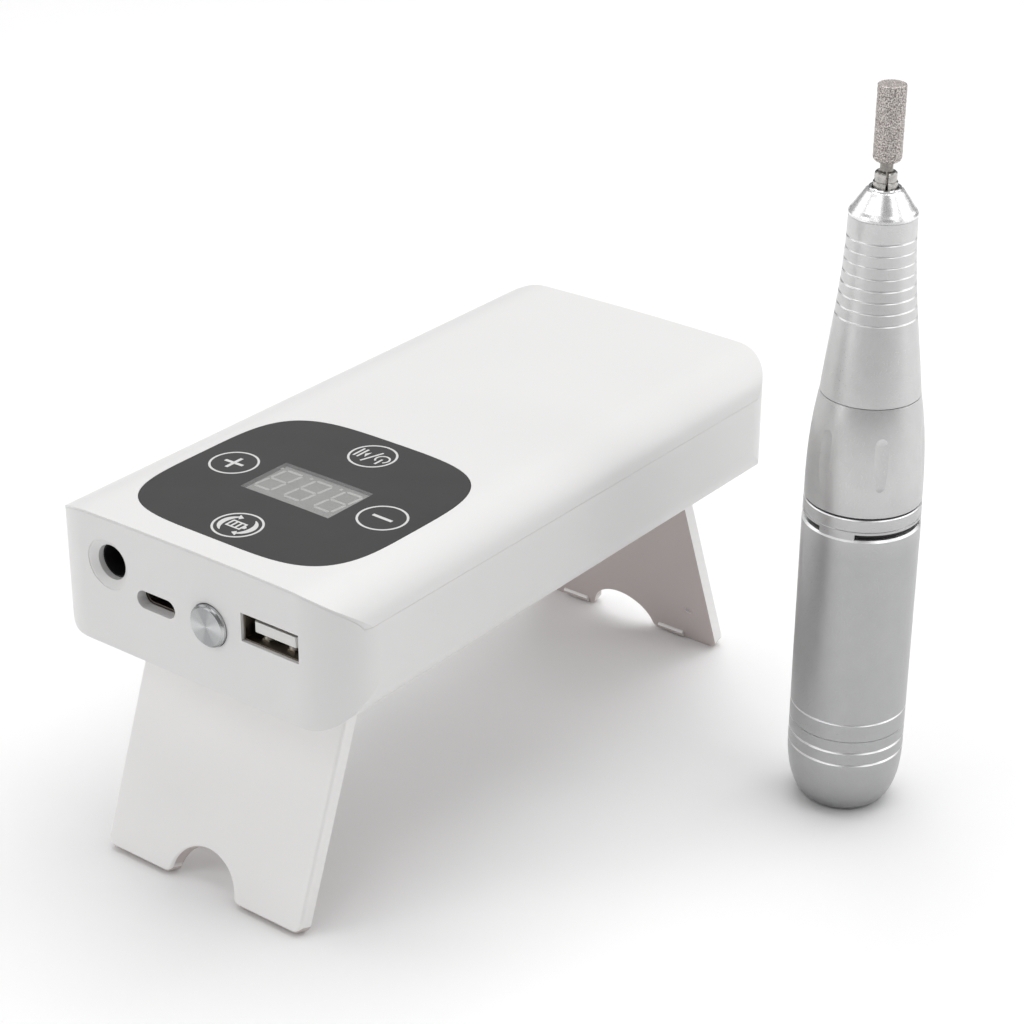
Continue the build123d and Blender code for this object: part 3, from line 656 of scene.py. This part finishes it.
# ---------------------------------------------------------------- turned pieces
def turned(name, profile, axis_point, along, body, material, segments, wobble=None):
    """Closed surface of revolution from (radius, height) pairs in mm; axis poles where radius is 0."""
    axis = Vector(along).normalized()
    side = axis.orthogonal().normalized()
    other = axis.cross(side)
    bm = bmesh.new()
    rows = []
    for index, (r, h) in enumerate(profile):
        centre = Vector(axis_point) + axis * h * MM
        if r < 1e-6:
            rows.append([bm.verts.new(centre)])
            continue
        row = []
        for i in range(segments):
            a = 2 * math.pi * i / segments
            rr = r + (wobble(index, i) if wobble else 0.0)
            row.append(bm.verts.new(centre + (side * math.cos(a) + other * math.sin(a)) * rr * MM))
        rows.append(row)
    for lower, upper in zip(rows, rows[1:]):
        for i in range(segments):
            j = (i + 1) % segments
            if len(lower) == 1:
                bm.faces.new((lower[0], upper[i], upper[j]))
            elif len(upper) == 1:
                bm.faces.new((lower[i], lower[j], upper[0]))
            else:
                bm.faces.new((lower[i], lower[j], upper[j], upper[i]))
    return piece(name, from_bmesh(name, bm), body, material)


BUTTON_R = 4.05
BUTTON_DEPTH = 2.2
BUTTON_CHAMFER = 0.42
BUTTON_SEGMENTS = 160
EDGE = 0.02
SOFT_EDGE = 0.03
SPUN_RINGS = 46
SPUN_DEPTH = 0.011


def button_piece():
    """The button: spun rings on its face, polished chamfer and a plain side that ends inside."""
    centre_x = (button_low.x + button_high.x) / 2
    centre_z = (button_low.z + button_high.z) / 2
    wall_centre = Vector((centre_x, shell_low.y, centre_z))
    face = (shell_low.y - button_low.y) / MM
    flat_r = BUTTON_R - BUTTON_CHAMFER
    spun_r = flat_r - 2 * SOFT_EDGE
    profile = [(0.0, -BUTTON_DEPTH), (BUTTON_R - EDGE, -BUTTON_DEPTH), (BUTTON_R, EDGE - BUTTON_DEPTH),
               (BUTTON_R, face - BUTTON_CHAMFER - SOFT_EDGE), (BUTTON_R - EDGE, face - BUTTON_CHAMFER),
               (flat_r, face - EDGE), (flat_r - SOFT_EDGE, face)]
    for i in range(SPUN_RINGS):
        groove = SPUN_DEPTH if i % 2 else 0.0
        profile.append((spun_r * (1 - i / SPUN_RINGS), face - groove))
    profile.append((0.0, face))
    button = turned("button_face", profile, wall_centre, (0, -1, 0), "button_body",
                    mats["button_alloy"], BUTTON_SEGMENTS)
    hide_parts("power_button")


BIT_SEGMENTS = 168
BIT_ROWS = 110
BIT_TOP_RINGS = 20
BIT_FOOT = ((0.0, 0.0), (0.9, 0.0), (1.45, 0.05), (1.9, 0.22), (2.25, 0.45))
BIT_INSET = 0.045
BIT_STRAIGHT_FROM = 0.95
BIT_STRAIGHT_SPARE = 1.15
BIT_ROUND = 0.1
BIT_TOP_INSET = 0.25
BIT_TOP_DROP = 0.03
GRAIN_HEIGHT = (-0.055, 0.045)
SPECK_HEIGHT = (-0.006, 0.004)
grit = {}


def crystal(index, i):
    """Random height of one grain in mm; a grain covers a few points of a few rows."""
    key = (index // 2, i // 3)
    if key not in grit:
        grit[key] = random.uniform(*GRAIN_HEIGHT)
    return grit[key] + random.uniform(*SPECK_HEIGHT)


def bit_piece():
    """The bit head: a gritty straight cylinder with a soft lower shoulder and a flat top."""
    random.seed(7)
    radius = (bit_high.x - bit_low.x) / 2 / MM
    length = (bit_high.z - bit_low.z) / MM
    top_r = radius - BIT_TOP_INSET
    top = length - BIT_TOP_DROP
    profile = [*BIT_FOOT, (radius - BIT_ROUND, 0.78)]
    for i in range(BIT_ROWS + 1):
        profile.append((radius - BIT_INSET, BIT_STRAIGHT_FROM + (length - BIT_STRAIGHT_SPARE) * i / BIT_ROWS))
    profile += [(radius - BIT_ROUND, length - BIT_ROUND), (top_r, length - EDGE)]
    for i in range(1, BIT_TOP_RINGS):
        profile.append((top_r * (1 - i / BIT_TOP_RINGS), top))
    profile.append((0.0, top))
    base = Vector((HAND.x, HAND.y, bit_low.z))
    head = turned("grit_head", profile, base, (0, 0, 1), "bit_body", mats["bit_grit"],
                  BIT_SEGMENTS, crystal)
    for polygon in head.data.polygons:
        polygon.use_smooth = False
    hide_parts("bit_head")


button_piece()
bit_piece()


# ---------------------------------------------------------------- floor and lights
FLOOR_HALF = 2.5
FLOOR_DROP = 0.00002
FLOOR_TONE = (0.94, 0.94, 0.94, 1.0)
WORLD_STRENGTH = 0.24
AIM = (0.03, 0.03, 0.10)
AIM_RIGHT = (0.05, 0.03, 0.10)

# name, place, aim, width, height, watts
SOFTBOXES = (
    ("overhead", (-0.1, 0.36, 1.3), (0, 0, 0), 1.4, 1.3, 14.5),
    ("top_right_card", (0.95, -0.05, 1.15), AIM_RIGHT, 0.45, 0.70, 1.6),
    ("top_left_card", (0.0, -0.85, 1.15), AIM_RIGHT, 0.70, 0.45, 1.4),
    ("left_strip", (-0.65, -1.0, 0.56), AIM, 0.5, 1.1, 3.3),
    ("left_card", (-1.15, -0.25, 0.72), AIM, 0.9, 0.7, 2.2),
    ("right_strip", (1.1, 0.55, 0.56), AIM_RIGHT, 0.4, 1.1, 2.2),
    ("right_card", (0.62, 1.0, 0.72), AIM_RIGHT, 0.9, 0.7, 2.2),
)


def pale_floor():
    """Plain floor just under the feet."""
    corners = [(-FLOOR_HALF, -FLOOR_HALF, 0), (FLOOR_HALF, -FLOOR_HALF, 0),
               (FLOOR_HALF, FLOOR_HALF, 0), (-FLOOR_HALF, FLOOR_HALF, 0)]
    data = bpy.data.meshes.new("floor")
    data.from_pydata(corners, [], [(0, 1, 2, 3)])
    floor = bpy.data.objects.new("floor", data)
    scene.collection.objects.link(floor)
    floor.location.z = -FLOOR_DROP
    mat, _, bsdf = shader("floor_pale")
    bsdf.inputs["Base Color"].default_value = FLOOR_TONE
    bsdf.inputs["Roughness"].default_value = 0.8
    bsdf.inputs["Specular IOR Level"].default_value = 0.2
    data.materials.append(mat)


def studio_world():
    """Even white surroundings."""
    world = bpy.data.worlds.new("studio")
    world.use_nodes = True
    background = world.node_tree.nodes["Background"]
    background.inputs["Color"].default_value = (1.0, 1.0, 1.0, 1.0)
    background.inputs["Strength"].default_value = WORLD_STRENGTH
    scene.world = world


def softbox(name, location, target, width, height, watts):
    """Rectangular studio light aimed at a point."""
    data = bpy.data.lights.new(name, "AREA")
    data.shape = "RECTANGLE"
    data.size = width
    data.size_y = height
    data.energy = watts
    light = bpy.data.objects.new(name, data)
    scene.collection.objects.link(light)
    light.location = location
    direction = Vector(target) - Vector(location)
    light.rotation_euler = direction.to_track_quat("-Z", "Y").to_euler()


pale_floor()
studio_world()
for values in SOFTBOXES:
    softbox(*values)
